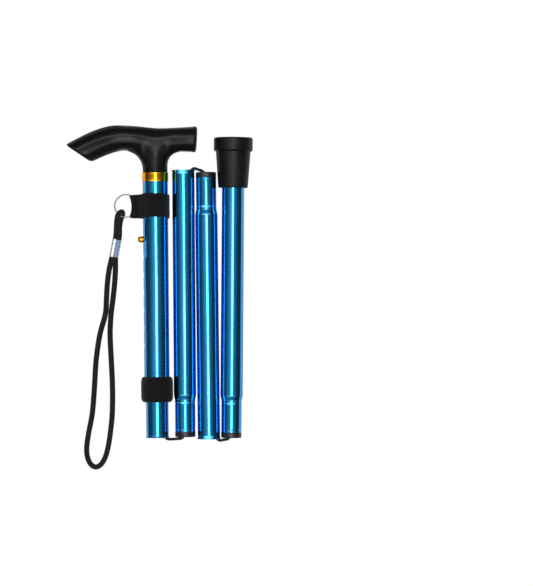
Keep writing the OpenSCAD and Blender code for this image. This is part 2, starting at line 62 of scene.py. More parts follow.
blue_worn = (0.22, 0.55, 0.82, 1.0)


class Value:
    """A socket of a material that takes part in sums: each operator adds a Math node."""

    def __init__(self, tree, socket=None):
        self.tree = tree
        self.socket = socket

    def feed(self, socket, value):
        """Links a value to a socket, or sets a plain number or colour on it."""
        if isinstance(value, Value):
            self.tree.links.new(value.socket, socket)
        else:
            socket.default_value = value

    def add(self, kind, settings, sockets, out=0):
        """Adds a node from its type, its settings, and the values or links of its sockets."""
        node = self.tree.nodes.new("ShaderNode" + kind)
        for name, setting in settings.items():
            if name == "stops":
                for stop in setting[2:]:
                    node.color_ramp.elements.new(stop[0])
                for element, stop in zip(node.color_ramp.elements, setting):
                    element.position = stop[0]
                    element.color = stop[1]
            else:
                setattr(node, name, setting)
        for name, value in sockets.items():
            self.feed(node.inputs[name], value)
        return Value(self.tree, node.outputs[out])

    def math(self, operation, *others):
        """Adds a Math node that takes this value first."""
        return self.add("Math", {"operation": operation}, dict(enumerate((self, *others))))

    def __add__(self, other):
        return self.math("ADD", other)

    def __sub__(self, other):
        return self.math("SUBTRACT", other)

    def __rsub__(self, other):
        return self.add("Math", {"operation": "SUBTRACT"}, {0: other, 1: self})

    def __mul__(self, other):
        return self.math("MULTIPLY", other)

    __radd__ = __add__
    __rmul__ = __mul__

    def between(self, low, high):
        """Smooth step from 0 at low to 1 at high."""
        sockets = {"Value": self, "From Min": low, "From Max": high}
        return self.add("MapRange", {"interpolation_type": "SMOOTHSTEP"}, sockets)

    def paint(self, first, second):
        """Colour that goes from first at 0 to second at 1."""
        return self.add("Mix", {"data_type": "RGBA"}, {0: self, 6: first, 7: second}, 2)


def new_finish(name, **constants):
    """A material, its shader with these constant sockets, and the Value that adds its nodes."""
    made = bpy.data.materials.new(name)
    made.use_nodes = True
    shader = made.node_tree.nodes["Principled BSDF"]
    for socket, value in constants.items():
        shader.inputs[socket.replace("_", " ")].default_value = value
    return made, shader, Value(made.node_tree)


def grain(shade, scale, stretch=(1, 1, 1), detail=3.0):
    """Noise fixed to the piece, in cycles per metre, drawn out along the axes with a small stretch."""
    place = shade.add("TexCoord", {}, {}, "Object")
    spread = shade.add("Mapping", {}, {"Vector": place, "Scale": stretch})
    return shade.add("TexNoise", {}, {"Vector": spread, "Scale": scale, "Detail": detail})


def relief(shade, shader, height, strength, depth):
    """Raises fine relief from a height value, to a depth in metres."""
    sockets = {"Height": height, "Strength": strength, "Distance": depth}
    shade.feed(shader.inputs["Normal"], shade.add("Bump", {}, sockets))


def anodised_finish():
    """Bright dyed skin over drawn metal: fine lines along the pipe, paler where an edge is worn."""
    made, shader, shade = new_finish(
        "anodised_blue", Metallic=1.0, Specular_Tint=blue_edge_tint, Coat_Weight=0.8, Coat_Roughness=0.05
    )
    drawn = grain(shade, 900.0, (1, 1, 0.008), 1.5)
    cloud = grain(shade, 45.0)
    worn = shade.add("Attribute", {"attribute_name": "worn"}, {}, "Fac")
    scuffed = worn * grain(shade, 700.0).between(0.3, 0.6)
    tone = (drawn * 0.6 + cloud * 0.4).between(0.35, 0.65).paint(blue_deep, blue_bright)
    shade.feed(shader.inputs["Base Color"], (scuffed * 0.7).paint(tone, blue_worn))
    shade.feed(shader.inputs["Roughness"], 0.10 + drawn * 0.03 + cloud * 0.02)
    return made


def held_straight(outline, long=3.0, near=0.5):
    """Adds a point near both ends of each long side, so that roundings don't bend its shading."""
    held = []
    for a, b in zip(outline, outline[1:] + outline[:1]):
        held.append(a)
        side = np.subtract(b[:2], a[:2])
        length = np.linalg.norm(side)
        if length > long:
            held += [(*(np.array(a[:2]) + side * t), 0.0) for t in (near / length, 1 - near / length)]
    return held


def rounded(profile, steps=4):
    """Outline of (radius, height, rounding) corners with their arcs, as (radius, height, worn)."""
    corners = np.array([p[:2] for p in profile])
    outline = []
    for i, (r, z, soft) in enumerate(profile):
        corner = corners[i]
        if not soft:
            outline.append((r, z, 0.0))
            continue
        back = corners[i - 1] - corner
        ahead = corners[(i + 1) % len(profile)] - corner
        room = min(np.linalg.norm(back), np.linalg.norm(ahead)) / 2
        back /= np.linalg.norm(back)
        ahead /= np.linalg.norm(ahead)
        half = math.acos(np.clip(back @ ahead, -1, 1)) / 2
        reach = min(soft / math.tan(half), room)
        first = corner + reach * back
        last = corner + reach * ahead
        for k in range(steps + 1):
            t = k / steps
            bow = (1 - t) ** 2 * first + 2 * t * (1 - t) * corner + t**2 * last
            outline.append((*bow, 0.0 if k in (0, steps) else 1.0))
    return held_straight(outline)


def loft(name, rings, place=Matrix(), wrap=False, worn=None, along=None):
    """Smooth closed mesh over rings of points in millimetres; wrap joins the last ring to the first."""
    count = len(rings[0])
    total = len(rings)
    points = np.array(rings, float).reshape(-1, 3) * MM
    along = np.arange(total + 1, dtype=float) if along is None else np.append(along, along[-1])
    faces = []
    marks = []
    for i in range(total if wrap else total - 1):
        a = i * count
        b = (i + 1) % total * count
        for k in range(count):
            n = (k + 1) % count
            faces.append((a + k, a + n, b + n, b + k))
            left, right = k / count, (k + 1) / count
            marks += [(along[i], left), (along[i], right), (along[i + 1], right), (along[i + 1], left)]
    if not wrap:
        faces.append(tuple(reversed(range(count))))
        faces.append(tuple(range(len(points) - count, len(points))))
        marks += [(along[0], 0.5)] * count + [(along[total - 1], 0.5)] * count
    mesh = bpy.data.meshes.new(name)
    mesh.from_pydata(points.tolist(), [], faces)
    mesh.uv_layers.new(name="UVMap").uv.foreach_set("vector", np.array(marks, np.float32).ravel())
    if worn is not None:
        mesh.attributes.new("worn", "FLOAT", "POINT").data.foreach_set("value", np.repeat(worn, count))
    turned = bmesh.new()
    turned.from_mesh(mesh)
    bmesh.ops.recalc_face_normals(turned, faces=turned.faces)
    turned.to_mesh(mesh)
    turned.free()
    mesh.shade_smooth()
    mesh.set_sharp_from_angle(angle=math.radians(40))
    made = bpy.data.objects.new(name, mesh)
    bpy.context.scene.collection.objects.link(made)
    made.matrix_world = place
    return made


def lathe(name, outline, place=Matrix(), hollow=True, steps=tube_steps):
    """Mesh of an outline of (radius, height, worn) turned about Z; a hollow outline closes on itself."""
    turn = 2 * np.pi * np.arange(steps) / steps
    way = np.column_stack([np.cos(turn), np.sin(turn)])
    rings = [np.column_stack([r * way, np.full(steps, z)]) for r, z, _ in outline]
    return loft(name, rings, place, wrap=hollow, worn=np.array([p[2] for p in outline], np.float32))


def dress(piece, finish, body, node):
    """Gives a piece its finish as its one material, sets it on its body and hides the CAD node it stands in
    for.
    """
    piece.data.materials.clear()
    piece.data.materials.append(finish)
    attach(piece, body)
    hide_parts(node)


def drill(tube, heights):
    """Cuts the button holes on a tube's nose side and gives its round walls their true normals again."""
    for z in heights:
        bit = [(hole_r, h, 0.0) for h in (-2 * outer_r, 0.0)]
        turn = Matrix.Translation((0, 0, z * MM)) @ Matrix.Rotation(math.pi / 2, 4, "Y")
        cutter = lathe("drill_bit", bit, turn, hollow=False, steps=48)
        cut = tube.modifiers.new("hole", "BOOLEAN")
        cut.object = cutter
        cut.solver = "EXACT"
        graph = bpy.context.evaluated_depsgraph_get()
        drilled = bpy.data.meshes.new_from_object(tube.evaluated_get(graph))
        tube.modifiers.clear()
        tube.data = drilled
        bpy.data.objects.remove(cutter)
    mesh = tube.data
    normals = []
    for face in mesh.polygons:
        for corner in face.vertices:
            x, y, z = mesh.vertices[corner].co / MM
            out = Vector((x, y, 0)).normalized()
            flat = abs(face.normal.z) < 0.2
            if flat and abs(face.normal.dot(out)) > 0.97:
                normals.append(out if face.normal.dot(out) > 0 else -out)
            else:
                normals.append(face.normal.copy())
    mesh.normals_split_custom_set(normals)


anodised = anodised_finish()
outer_tube = lathe("outer_tube_blue", rounded([
    (outer_r, outer_end_z, 0.35), (outer_r, outer_top_z, 0.3),
    (outer_bore_r, outer_top_z, 0.2), (outer_bore_r, outer_end_z, 0.25),
]))
drill(outer_tube, [button_z - i * hole_pitch for i in range(hole_count)])
dress(outer_tube, anodised, "handle_tube", "outer_tube")

# Grip: one solid moulding of satin black plastic, a palm-shaped bar that flows into a round stem.
# The stem's plug is pressed into the outer tube, and a steel cross pin under the collar holds it.
grip_nose_up = np.array([-76.0, 0, -4.2])
grip_nose_face = 26.4
grip_nose_slope = math.radians(34.5)
grip_nose_way = np.array([math.cos(grip_nose_slope), 0, -math.sin(grip_nose_slope)])
grip_nose_low = grip_nose_up + grip_nose_face * grip_nose_way
grip_palm_up = np.array([-29.4, 0, 12.3])
grip_palm_low = np.array([-26.0, 0, -10.2])
grip_saddle_up = np.array([4.5, 0, 9.4])
grip_heel_up = np.array([36.2, 0, 10.5])
grip_heel_low = np.array([34.8, 0, -11.8])
grip_end_w = 21.6
grip_palm_w = 26.4
grip_square = 2.3
grip_waist = 2.6
waist_x = 2.0
waist_reach = 14.0
nose_edge = (0.045, 0.16)
heel_edge = (0.034, 0.18)
grip_voxel = 0.55
stem_r = 10.6
stem_end = 2.0
stem_fillets = {-1: (10.2, 15.5), 1: (11.2, 11.0)}
fillet_share = 0.97
plug_share = 0.896
plug_end_z = -54.5
grip_black = (0.0088, 0.0086, 0.0100, 1.0)
grip_sheen = (0.0125, 0.0122, 0.0138, 1.0)


def hermite(p, m, q, n, t):
    """Point at t of the smooth arc that leaves p along m and reaches q along n."""
    leaving = (2 * t**3 - 3 * t**2 + 1) * p + (t**3 - 2 * t**2 + t) * m
    return leaving + (3 * t**2 - 2 * t**3) * q + (t**3 - t**2) * n


def arc_between(p, p_slope, q, q_slope, t):
    """Smooth arc in the plane of the grip, leaving p and reaching q at slopes in degrees."""
    reach = np.linalg.norm(q - p)
    slopes = [math.radians(a) for a in (p_slope, q_slope)]
    ways = [reach * np.array([math.cos(a), 0, math.sin(a)]) for a in slopes]
    return hermite(p, ways[0], q, ways[1], t)


def grip_upper(s):
    """Upper edge of the bar, from the nose (0) over the palm crest (1) to the heel (2)."""
    saddle = (grip_saddle_up[0] - grip_palm_up[0]) / (grip_heel_up[0] - grip_palm_up[0])
    if s < 1:
        return arc_between(grip_nose_up, 27, grip_palm_up, 0, s)
    if s - 1 < saddle:
        return arc_between(grip_palm_up, 0, grip_saddle_up, 0, (s - 1) / saddle)
    return arc_between(grip_saddle_up, 0, grip_heel_up, 1, (s - 1 - saddle) / (1 - saddle))


def grip_lower(s):
    """Lower edge of the bar at the same s."""
    if s < 1:
        return arc_between(grip_nose_low, 24, grip_palm_low, 0, s)
    return arc_between(grip_palm_low, 0, grip_heel_low, -2, s - 1)


def grip_ring(s, shrink=1.0, sides=72):
    """Oval of the bar at s, drawn in over the stem where thumb and finger lie."""
    up = grip_upper(s)
    low = grip_lower(s)
    half_w = (grip_end_w + (grip_palm_w - grip_end_w) * math.sin(math.pi / 2 * min(s, 2 - s)) ** 2) / 2
    half_w -= grip_waist * math.exp(-((((up[0] + low[0]) / 2 - waist_x) / waist_reach) ** 2))
    ring = []
    for k in range(sides):
        a = 2 * math.pi * k / sides
        lift, side = [math.copysign(abs(c) ** (2 / grip_square), c) for c in (math.cos(a), math.sin(a))]
        ring.append((up + low) / 2 + shrink * (lift * (up - low) / 2 + side * half_w * np.array([0, 1, 0])))
    return ring


def stem_ring(z, sides=72):
    """Oval of the stem at a height, longer where it runs into the bar."""
    ring = []
    for k in range(sides):
        a = 2 * math.pi * k / sides
        under, fillet = stem_fillets[-1 if math.cos(a) < 0 else 1]
        h = min(max(z + under + fillet, 0), fillet_share * fillet)
        reach = stem_r + fillet - math.sqrt(fillet**2 - h**2)
        ring.append((reach * math.cos(a), stem_r * math.sin(a), z))
    return ring


def relax(mesh, weight, rounds, pace=0.5):
    """Draws each point towards the middle of its neighbours, by its weight along each axis."""
    count = len(mesh.vertices)
    spots = np.empty(count * 3)
    mesh.vertices.foreach_get("co", spots)
    spots = spots.reshape(-1, 3)
    ends = np.empty(len(mesh.edges) * 2, int)
    mesh.edges.foreach_get("vertices", ends)
    first, second = ends.reshape(-1, 2).T
    both = np.concatenate([first, second])
    other = np.concatenate([second, first])
    near = np.bincount(both, minlength=count)
    for _ in range(rounds):
        middle = np.column_stack([np.bincount(both, spots[other, i], count) / near for i in range(3)])
        spots += weight * pace * (middle - spots)
    mesh.vertices.foreach_set("co", spots.ravel())
    mesh.update()


def near_stem(spots, z, tall, long, sharp):
    """Weight of 1 where the stem meets the bar, within tall and long of height z, and 0 further off."""
    upright = np.exp(-(((spots[:, 2] - z) / tall) ** sharp))
    return (upright * np.exp(-((spots[:, 0] / long) ** 8)))[:, None]


def edge_rings(end, inward, edge):
    """Rings that round over the bar's end face; edge is how far in they start and how much they draw in."""
    turns = [math.radians(a) for a in (0, 22, 45, 68, 90)]
    places = [end + inward * edge[0] * (1 - math.cos(a)) for a in turns]
    return [grip_ring(s, 1 - edge[1] * (1 - math.sin(a))) for s, a in zip(places, turns)]


def grip_finish():
    """Satin moulding with fine pores, a little paler where hands rub it."""
    made, shader, shade = new_finish("satin_black_plastic", Specular_IOR_Level=0.1)
    pores = grain(shade, 2600.0, detail=2.0)
    cloud = grain(shade, 70.0)
    rubbed = cloud.between(0.45, 0.75)
    shade.feed(shader.inputs["Base Color"], rubbed.paint(grip_black, grip_sheen))
    shade.feed(shader.inputs["Roughness"], 0.19 + 0.05 * cloud + 0.03 * pores)
    relief(shade, shader, pores, 0.10, 0.00006)
    return made


bar_rings = edge_rings(0, 1, nose_edge)
bar_rings += [grip_ring(s) for s in np.linspace(0.06, 1.96, 90)]
bar_rings += edge_rings(2, -1, heel_edge)[::-1]
handle = loft("handle_grip", bar_rings)
plug_ring = [(x * plug_share, y * plug_share) for x, y, _ in stem_ring(outer_top_z)]
stem_rings = [[(x, y, z) for x, y in plug_ring] for z in (plug_end_z, outer_top_z)]
stem_rings += [stem_ring(z) for z in np.linspace(outer_top_z, stem_end, 70)]
stem = loft("handle_stem", stem_rings)
with bpy.context.temp_override(active_object=handle, selected_editable_objects=[handle, stem]):
    bpy.ops.object.join()
melt = handle.modifiers.new("one_moulding", "REMESH")
melt.mode = "VOXEL"
melt.voxel_size = grip_voxel * MM
graph = bpy.context.evaluated_depsgraph_get()
handle.data = bpy.data.meshes.new_from_object(handle.evaluated_get(graph))
handle.modifiers.clear()
spots = np.array([v.co for v in handle.data.vertices]) / MM
root = near_stem(spots, z=-10, tall=7, long=27, sharp=4)
relax(handle.data, root, rounds=70)
flank = near_stem(spots, z=-7, tall=13, long=32, sharp=6)
relax(handle.data, flank * (0, 1, 0), rounds=260)
relax(handle.data, np.ones((len(spots), 1)), rounds=7)
handle.data.shade_smooth()
satin_black = grip_finish()
dress(handle, satin_black, "handle_tube", "handle")

steel_dark = (0.42, 0.43, 0.45, 1.0)
steel_pale = (0.62, 0.63, 0.65, 1.0)


def steel_finish(name, dark, pale, rough):
    """Bare or plated metal with fine scratches along it."""
    made, shader, shade = new_finish(name, Metallic=1.0)
    scratch = grain(shade, 1400.0, (1, 1, 0.05))
    shade.feed(shader.inputs["Base Color"], scratch.between(0.3, 0.7).paint(dark, pale))
    shade.feed(shader.inputs["Roughness"], rough + 0.1 * scratch)
    relief(shade, shader, scratch, 0.08, 0.00003)
    return made


def refinish(node, finish):
    """Puts a finish on a CAD node that stays as it is."""
    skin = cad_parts[node].data.materials
    skin.clear()
    skin.append(finish)


plain_steel = steel_finish("plain_steel", steel_dark, steel_pale, 0.28)
refinish("handle_pin", plain_steel)

# Collar ring: a short sleeve of thin gold-coloured metal with turned-in edges.
# It is slid over the top of the tube and hides the joint and the cross pin.
collar_top_z = outer_top_z
collar_h = 7.7
collar_low_z = collar_top_z - collar_h
collar_in = 10.75
collar_out = 11.15
collar_bead = 0.9
collar_step = 0.2
collar_sink = 0.06
gold_deep = (0.62, 0.22, 0.008, 1.0)
gold_bright = (0.88, 0.41, 0.03, 1.0)
gold_edge_tint = (1.0, 0.86, 0.6, 1.0)


def gold_finish(name, rough):
    """Gold-coloured metal with fine turning lines round it."""
    made, shader, shade = new_finish(name, Metallic=1.0, Specular_Tint=gold_edge_tint)
    turned = grain(shade, 1500.0, (0.03, 0.03, 1))
    cloud = grain(shade, 120.0)
    mixed = (0.5 * turned + 0.5 * cloud).between(0.3, 0.7)
    shade.feed(shader.inputs["Base Color"], mixed.paint(gold_deep, gold_bright))
    shade.feed(shader.inputs["Roughness"], rough + 0.05 * turned)
    relief(shade, shader, turned, 0.03, 0.00003)
    return made


gold = gold_finish("gold_metal", 0.10)
collar = lathe("collar_ring_gold", rounded([
    (collar_in, collar_low_z, 0), (collar_out, collar_low_z, 0.3),
    (collar_out, collar_low_z + collar_bead, 0),
    (collar_out - collar_sink, collar_low_z + collar_bead + collar_step, 0.2),
    (collar_out - collar_sink, collar_top_z - collar_bead - collar_step, 0.2),
    (collar_out, collar_top_z - collar_bead, 0),
    (collar_out, collar_top_z, 0.3), (collar_in, collar_top_z, 0),
]))
dress(collar, gold, "handle_tube", "collar_ring")

# Inner tube: the same blue pipe one size down, which slides in the outer tube to set the height.
# Its open mouth is flared a little, so that the next section's spigot finds its way in.
section_r = 9.5
section_bore_r = 8.7
lip_h = 1.6
lip_flare = 0.5
lip_neck = 2.2
lip_neck_in = 0.12
lip_run = 3.0
inner_top_z = -70.0
mouth_1_z = -253.0


def mouth(z, inward):
    """Corners of an open mouth at height z, from outside to inside; inward is the way into the tube."""
    return [
        (section_r, z + inward * lip_run, 0), (section_r - lip_neck_in, z + inward * lip_neck, 0.5),
        (section_r, z + inward * lip_h, 0.8), (section_r + lip_flare, z, 0.5),
        (section_bore_r + lip_flare, z, 0.3), (section_bore_r, z + inward * lip_h, 0.5),
    ]


inner_tube = lathe("inner_tube_blue", rounded(
    [(section_bore_r, inner_top_z, 0.2), (section_r, inner_top_z, 0.3)] + mouth(mouth_1_z, 1)
))
drill(inner_tube, [button_z])
dress(inner_tube, anodised, "inner_shaft", "inner_tube")

# Snap button: a turned brass pin with a round head, which a hairpin leaf spring pushes out.
# It locks the inner tube in one of the outer tube's holes, and its flange keeps it in.
button_r = 2.8
button_tip_x = -15.4
button_shank_x = -12.4
button_groove_r = 2.55
button_groove_x = (-11.5, -11.2, -10.9, -10.6)
button_flange_r = 4.0
button_flange_x = -7.4258
button_end_x = button_flange_x + 1.0
dome = [math.radians(a) for a in range(2, 91, 11)]
button = lathe(
    "snap_button_brass",
    [(button_r * math.sin(a), button_tip_x + button_r * (1 - math.cos(a)), 0.0) for a in dome]
    + rounded([
        (button_r, button_shank_x, 0), (button_r, button_groove_x[0], 0.2),
        (button_groove_r, button_groove_x[1], 0.15), (button_groove_r, button_groove_x[2], 0.15),
        (button_r, button_groove_x[3], 0.2), (button_r, button_flange_x, 0),
        (button_flange_r, button_flange_x, 0.2), (button_flange_r, button_end_x, 0.2),
        (0.05, button_end_x, 0),
    ]),
    Matrix.Translation((0, 0, button_z * MM)) @ Matrix.Rotation(math.pi / 2, 4, "Y"),
    hollow=False, steps=64,
)
dress(button, gold_finish("turned_brass", 0.32), "button", "snap_button")
refinish("button_spring", plain_steel)

# Folding sections: three blue pipes, each swaged down at one end to a spigot with a round shoulder.
# The spigot plugs into the mouth of the section above; folded, they lie side by side.
spigot_r = 8.6
spigot_bore_r = 7.8
spigot_base = 4.5
spigot_end = 32.0
shoulder_h = 2.0
groove_up = 2.2
groove_half = 0.7
groove_in = 0.25
section_len = 226.0
last_len = 244.0
fold_pitch = (23.55, 19.2, 18.9)
fold_z = (mouth_1_z, -26.5, -254.5)
hang_back = (0.5, 2.0, 1.0)
rest_open = (0.06, 0.2, 1.05)


def about(hinge, angle):
    """Turn by an angle in degrees about a hinge, in the plane of the cane."""
    spot = Vector(hinge) * MM
    turn = Matrix.Rotation(math.radians(angle), 4, "Y")
    return Matrix.Translation(spot) @ turn @ Matrix.Translation(-spot)


mouth_place = []
section_place = []
lean = Matrix()
axis_x = 0.0
for i in range(3):
    upward = -1 if i == 1 else 1
    upside = Matrix.Rotation(math.pi, 4, "Y") if i == 1 else Matrix()
    mouth_spot = Matrix.Translation((axis_x * MM, 0, fold_z[i] * MM))
    mouth_place.append(lean @ mouth_spot @ Matrix.Diagonal((1, 1, upward, 1)))
    lean = lean @ about((axis_x + fold_pitch[i] / 2, 0, fold_z[i]), upward * rest_open[i])
    axis_x += fold_pitch[i]
    spigot_z = fold_z[i] + upward * hang_back[i]
    section_place.append(lean @ Matrix.Translation((axis_x * MM, 0, spigot_z * MM)) @ upside)


def section_outline(length, open_mouth):
    """Spigot with a rolled end groove, a beaded shoulder, then the plain pipe to its far end."""
    top = spigot_end + shoulder_h
    groove = spigot_base + groove_up
    end = [(section_r, length, 0.3), (section_bore_r, length, 0.2)]
    if open_mouth:
        end = mouth(length, -1)
    return rounded([
        (spigot_bore_r, spigot_base, 0.15), (spigot_r, spigot_base, 0.25),
        (spigot_r, groove - groove_half, 0.4), (spigot_r - groove_in, groove, 0.4),
        (spigot_r, groove + groove_half, 0.4), (spigot_r, spigot_end - 4.4, 0.8),
        (spigot_r - 0.16, spigot_end - 3.4, 0.8), (spigot_r + 0.05, spigot_end - 2.2, 0.8),
        (spigot_r, spigot_end - 0.5, 0.8), (section_r - 0.03, top + 1.7, 1.6), (section_r, top + 4.4, 2.0),
    ] + end + [(section_bore_r, top, 0.8), (spigot_bore_r, spigot_end, 0.8)])


section_names = ("second", "third", "fourth")
section_bodies = ("section_2", "section_3", "section_4")
for i, name in enumerate(section_names):
    tube = lathe(
        name + "_tube_blue",
        section_outline(last_len if i == 2 else section_len, i < 2),
        section_place[i],
    )
    dress(tube, anodised, section_bodies[i], name + "_tube")

# Cord guides: black moulded plugs pressed into the spigots' ends.
# A trumpet-shaped hole lets the elastic cord turn out of the tube without chafing.
guide_hole_r = 2.1
guide_flare = 4.5
guide_depth = 8.0
guide_fit = 0.05
guide_black = (0.008, 0.008, 0.009, 1.0)
guide_rubbed = (0.02, 0.019, 0.018, 1.0)


def guide_finish():
    """Plain black moulding, paler where the cord rubs."""
    made, shader, shade = new_finish("guide_plastic", Specular_IOR_Level=0.35)
    pores = grain(shade, 1800.0)
    rub = grain(shade, 300.0)
    shade.feed(shader.inputs["Base Color"], rub.between(0.4, 0.7).paint(guide_black, guide_rubbed))
    shade.feed(shader.inputs["Roughness"], 0.28 + 0.15 * rub)
    relief(shade, shader, pores, 0.12, 0.00006)
    return made


guide_plastic = guide_finish()
trumpet = [math.radians(a) for a in range(0, 91, 10)]
trumpet_mid = guide_hole_r + guide_flare
guide_r = spigot_bore_r - guide_fit
guide_top = spigot_base + guide_depth
guide_outline = rounded([
    (guide_hole_r, guide_top, 0.3), (guide_r, guide_top, 0.4), (guide_r, spigot_base, 0),
    (spigot_r, spigot_base, 0.2), (spigot_r, 0, 0.9), (trumpet_mid + 0.2, 0, 0),
]) + [(trumpet_mid - guide_flare * math.sin(a), guide_flare * (1 - math.cos(a)), 0.0) for a in trumpet]
for i, name in enumerate(section_names):
    guide = lathe(name + "_guide_black", guide_outline, section_place[i], steps=96)
    dress(guide, guide_plastic, section_bodies[i], name + "_tube_guide")
for node in ("upper_cord_plug", "lower_cord_plug"):
    refinish(node, guide_plastic)

# Elastic cord: one stretched rubber cord in a black braided cover, knotted behind a plug at each end.
# It runs through all sections, loops out at each fold, and pulls the sections together when unfolded.
elastic_d = 3.0
elastic_tail = 36.0
elastic_thinned = 0.6
elastic_strands = 6
elastic_pitch = 2.2
elastic_ridge = 0.05
lip_clear = 0.1
trumpet_clear = 0.45
knot_depth = 10.0
knot_drawn = 0.8
knot_size = 0.972
knot_lift = 3.1
# The darker braid colour is painted shade, put in the hollows between the yarns.
braid_hollow_shade = (0.003, 0.003, 0.0034, 1.0)
braid_pale = (0.0135, 0.0135, 0.0142, 1.0)


def braid_finish(name, strands, pitch):
    """Woven cover: yarns cross in two hands round the cord, with painted shade in the hollows between them;
    the mesh has (length, turn) as its map.
    """
    made, shader, shade = new_finish(name, Sheen_Weight=0.25, Sheen_Roughness=0.4, Specular_IOR_Level=0.25)
    place = shade.add("TexCoord", {}, {}, "UV")
    length = shade.add("SeparateXYZ", {}, {"Vector": place}, "X") * (2 * math.pi / pitch)
    turn = shade.add("SeparateXYZ", {}, {"Vector": place}, "Y") * (2 * math.pi * strands)
    yarn = (length + turn).math("SINE") * (length - turn).math("SINE")
    fibre = grain(shade, 5200.0)
    height = 0.5 + 0.35 * yarn + 0.3 * (fibre - 0.5)
    # Black yarn, painted darker in the hollows between yarns as painted shade, with a little random fibre
    # tone.
    shade.feed(shader.inputs["Base Color"], height.between(0.2, 0.95).paint(braid_hollow_shade, braid_pale))
    shade.feed(shader.inputs["Roughness"], 0.72 + 0.2 * fibre)
    relief(shade, shader, height, 0.55, 0.00018)
    return made


def smooth_route(points, steps):
    """Smooth curve through a route's points, with a few steps between each pair."""
    p = np.array(points, float)
    last = len(p) - 1
    slopes = [(p[min(i + 1, last)] - p[max(i - 1, 0)]) / 2 for i in range(last + 1)]
    curve = [
        hermite(p[i], slopes[i], p[i + 1], slopes[i + 1], k / steps)
        for i in range(last) for k in range(steps)
    ]
    return np.array(curve + [p[last]])


def cord_tube(name, route, d, sides=20, strands=0, pitch=1.0, ridge=0.0, place=Matrix()):
    """Round cord in millimetres along a route, with woven ridges where strands are given."""
    ways = np.gradient(route, axis=0)
    ways /= np.linalg.norm(ways, axis=1)[:, None]
    along = np.concatenate([[0], np.cumsum(np.linalg.norm(np.diff(route, axis=0), axis=1))])
    across = np.cross(ways[0], (1, 0, 0) if abs(ways[0][0]) < 0.8 else (0, 0, 1))
    turn = 2 * np.pi * np.arange(sides) / sides
    rings = []
    for spot, way, s, width in zip(route, ways, along, np.broadcast_to(d, len(route))):
        across = across - (across @ way) * way
        across /= np.linalg.norm(across)
        second = np.cross(way, across)
        wave = 2 * np.pi * s / pitch
        woven = np.sin(wave + strands * turn) * np.sin(wave - strands * turn) if strands else 0 * turn
        r = (width / 2 * (1 - ridge) + width / 2 * ridge * woven)[:, None]
        rings.append(spot + r * (np.cos(turn)[:, None] * across + np.sin(turn)[:, None] * second))
    return loft(name, rings, place, along=along * MM)


def straight(z0, z1, step=2.0):
    """Route along a tube's axis, from height z0 to z1."""
    heights = np.linspace(z0, z1, max(2, int(abs(z1 - z0) / step)))
    return np.column_stack([0 * heights, 0 * heights, heights])


elastic_braid = braid_finish("elastic_braid", elastic_strands, elastic_pitch * MM)
lower_knot_z = last_len - knot_depth
upper_knot_z = -141.0
elastic_runs = (
    ("elastic_in_inner_tube", "inner_shaft", Matrix(), mouth_1_z + elastic_tail, upper_knot_z),
    ("elastic_in_second_tube", "section_2", section_place[0], guide_top, section_len - elastic_tail),
    ("elastic_in_third_tube", "section_3", section_place[1], guide_top, section_len - elastic_tail),
    ("elastic_in_fourth_tube", "section_4", section_place[2], guide_top, lower_knot_z),
)
for node, body, place, z0, z1 in elastic_runs:
    run = cord_tube(node + "_braid", straight(z0, z1), elastic_d, place=place)
    dress(run, elastic_braid, body, node)


def knot_route(z):
    """Overhand knot drawn tight on the axis, above its plug."""
    t = np.linspace(0.25, 2 * np.pi - 0.25, 90)
    x = np.sin(t) + 1.1 * np.sin(2 * t)
    y = np.cos(t) - 1.1 * np.cos(2 * t)
    up = -1.15 * np.sin(3 * t)
    return knot_size * np.column_stack([x, y, up]) + np.array([0, 0, z + knot_lift])


for node, body, place, z in (
    ("upper_cord_knot", "inner_shaft", Matrix(), upper_knot_z),
    ("lower_cord_knot", "section_4", section_place[2], lower_knot_z),
):
    knot = cord_tube(node + "_braid", knot_route(z), elastic_d * knot_drawn, place=place)
    dress(knot, elastic_braid, body, node)


def bend_route(pitch, drawn_back, opened):
    """Cord over a mouth's lip and round the next guide's trumpet, in the mouth's own frame."""
    dip = -(elastic_d - elastic_thinned) / 2 - lip_clear
    hinge = np.array([pitch / 2, 0, 0])
    corner = np.array([pitch - guide_hole_r - guide_flare, 0, drawn_back + spigot_base])
    sweep = guide_flare + elastic_d / 2 + trumpet_clear
    turns = [math.radians(a) for a in (30, 62)]
    ahead = [corner + sweep * np.array([math.sin(a), 0, -math.cos(a)]) for a in turns]
    ahead += [np.array([pitch, 0, corner[2] + 1.5]), np.array([pitch, 0, corner[2] + guide_depth - 0.3])]
    tilt = np.array(Matrix.Rotation(math.radians(opened), 3, "Y"))
    return smooth_route(
        [(0, 0, elastic_tail), (0, 0, 20), (0.8, 0, 12), (3.4, 0, 5), (section_bore_r - 2.1, 0, 0.4),
         (section_bore_r + 0.6, 0, dip), (corner[0], 0, dip + drawn_back / 2)]
        + [hinge + tilt @ (p - hinge) for p in ahead], 8)


# One distance across each fold from its mouth, for each bend; the bends are built only as they lie at rest.
hides_at = (fold_pitch[0], 0.0, 0.0)
for i, place in enumerate(mouth_place):
    route = bend_route(fold_pitch[i], hang_back[i], rest_open[i])
    placed = np.array([place @ Vector(p * MM) for p in route]) / MM
    drawn_thin = elastic_d - elastic_thinned * np.sin(np.linspace(0, math.pi, len(placed))) ** 2
    bend = cord_tube(
        f"elastic_bend_{i + 1}_braid", placed, drawn_thin,
        sides=24, strands=elastic_strands, pitch=elastic_pitch, ridge=elastic_ridge,
    )
    dress(bend, elastic_braid, f"cord_link_{i + 1}", f"elastic_bend_{i + 1}")
    across = (place.to_3x3() @ Vector((1, 0, 0))).normalized()
    f"fold_{i + 1}"
    place @ Vector((hides_at[i] * MM, 0, 0))
    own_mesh(bend)

